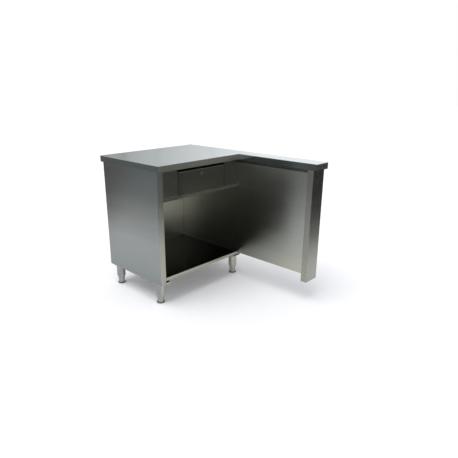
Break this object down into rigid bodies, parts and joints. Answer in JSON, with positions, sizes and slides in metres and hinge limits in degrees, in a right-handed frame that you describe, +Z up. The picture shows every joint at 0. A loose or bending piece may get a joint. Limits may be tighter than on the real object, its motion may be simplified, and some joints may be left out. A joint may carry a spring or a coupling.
{
  "type": "cash counter",
  "caption": "Stainless steel cash counter: cabinet with a locking cash drawer over an open shelf, a slim wing at one side under an L-shaped worktop, and tubular legs with height-adjusting feet.",
  "frame": {"origin": "on the floor under the middle of the worktop's outline", "axes": "+X to the operator's right, where the wing stands; +Y from the operator to the customer; +Z up"},
  "size_m": [0.818, 1.222, 0.9],
  "materials": {
    "worktop_steel": "brushed along the main arm",
    "body_steel": "brushed, grain level",
    "frame_steel": "mill finish sheet",
    "tube_steel": "polished round",
    "zinc_plate": "bright zinc plate",
    "lock_chrome": "satin chrome",
    "black_pad": "moulded, dull"
  },
  "bodies": {
    "counter": {"worktop": "worktop_steel", "worktop_channels": "frame_steel", "wing_channel": "frame_steel", "left_side": "body_steel", "outer_skin": "body_steel", "inner_skin": "body_steel", "wing_strip": "body_steel", "back_panel": "body_steel", "front_panel_left": "body_steel", "front_panel_right": "body_steel", "front_rail": "body_steel", "shelf": "body_steel", "shelf_channel": "frame_steel", "wall_base": "frame_steel", "wall_studs": "frame_steel", "leg_channel_left": "frame_steel", "leg_channel_right": "frame_steel", "leg_front_left": "tube_steel", "leg_front_right": "tube_steel", "leg_rear_left": "tube_steel", "leg_rear_right": "tube_steel", "leg_bolts": "zinc_plate", "leg_nuts": "zinc_plate", "hanger_left": "frame_steel", "hanger_right": "frame_steel", "slide_outer_left": "zinc_plate", "slide_outer_right": "zinc_plate", "lock_keeper": "frame_steel"},
    "foot_front_left": {"foot_front_left": "tube_steel", "pad_front_left": "black_pad"},
    "foot_front_right": {"foot_front_right": "tube_steel", "pad_front_right": "black_pad"},
    "foot_rear_left": {"foot_rear_left": "tube_steel", "pad_rear_left": "black_pad"},
    "foot_rear_right": {"foot_rear_right": "tube_steel", "pad_rear_right": "black_pad"},
    "drawer": {"drawer_front": "body_steel", "drawer_liner": "body_steel", "drawer_box": "body_steel", "slide_inner_left": "zinc_plate", "slide_inner_right": "zinc_plate", "lock_body": "lock_chrome", "lock_nut": "lock_chrome"},
    "lock": {"lock_barrel": "lock_chrome", "lock_cam": "lock_chrome", "cam_screw": "lock_chrome"},
    "middle_left": {"slide_middle_left": "zinc_plate"},
    "outer_cage_left": {"outer_cage_left": "zinc_plate"},
    "inner_cage_left": {"inner_cage_left": "zinc_plate"},
    "middle_right": {"slide_middle_right": "zinc_plate"},
    "outer_cage_right": {"outer_cage_right": "zinc_plate"},
    "inner_cage_right": {"inner_cage_right": "zinc_plate"}
  },
  "joints": [
    {"name": "drawer_slide", "type": "slide", "parent": "counter", "child": "drawer", "axis": [0, -1, 0], "range_m": [0, 0.4]},
    {"name": "middle_left_run", "type": "slide", "parent": "counter", "child": "middle_left", "axis": [0, -1, 0], "range_m": [0, 0.2]},
    {"name": "outer_cage_left_run", "type": "slide", "parent": "counter", "child": "outer_cage_left", "axis": [0, -1, 0], "range_m": [0, 0.1]},
    {"name": "inner_cage_left_run", "type": "slide", "parent": "counter", "child": "inner_cage_left", "axis": [0, -1, 0], "range_m": [0, 0.3]},
    {"name": "middle_right_run", "type": "slide", "parent": "counter", "child": "middle_right", "axis": [0, -1, 0], "range_m": [0, 0.2]},
    {"name": "outer_cage_right_run", "type": "slide", "parent": "counter", "child": "outer_cage_right", "axis": [0, -1, 0], "range_m": [0, 0.1]},
    {"name": "inner_cage_right_run", "type": "slide", "parent": "counter", "child": "inner_cage_right", "axis": [0, -1, 0], "range_m": [0, 0.3]},
    {"name": "lock_turn", "type": "hinge", "parent": "drawer", "child": "lock", "pos_m": [-0.048, 0.012, 0.809], "axis": [0, 1, 0], "range_deg": [0, 90]},
    {"name": "foot_front_left_height", "type": "slide", "parent": "counter", "child": "foot_front_left", "axis": [0, 0, -1], "range_m": [0, 0.025]},
    {"name": "foot_front_right_height", "type": "slide", "parent": "counter", "child": "foot_front_right", "axis": [0, 0, -1], "range_m": [0, 0.025]},
    {"name": "foot_rear_left_height", "type": "slide", "parent": "counter", "child": "foot_rear_left", "axis": [0, 0, -1], "range_m": [0, 0.025]},
    {"name": "foot_rear_right_height", "type": "slide", "parent": "counter", "child": "foot_rear_right", "axis": [0, 0, -1], "range_m": [0, 0.025]}
  ],
  "couplings": [
    {"joint": "middle_left_run", "follows": "drawer_slide", "ratio": 0.5},
    {"joint": "outer_cage_left_run", "follows": "drawer_slide", "ratio": 0.25},
    {"joint": "inner_cage_left_run", "follows": "drawer_slide", "ratio": 0.75},
    {"joint": "middle_right_run", "follows": "drawer_slide", "ratio": 0.5},
    {"joint": "outer_cage_right_run", "follows": "drawer_slide", "ratio": 0.25},
    {"joint": "inner_cage_right_run", "follows": "drawer_slide", "ratio": 0.75}
  ]
}
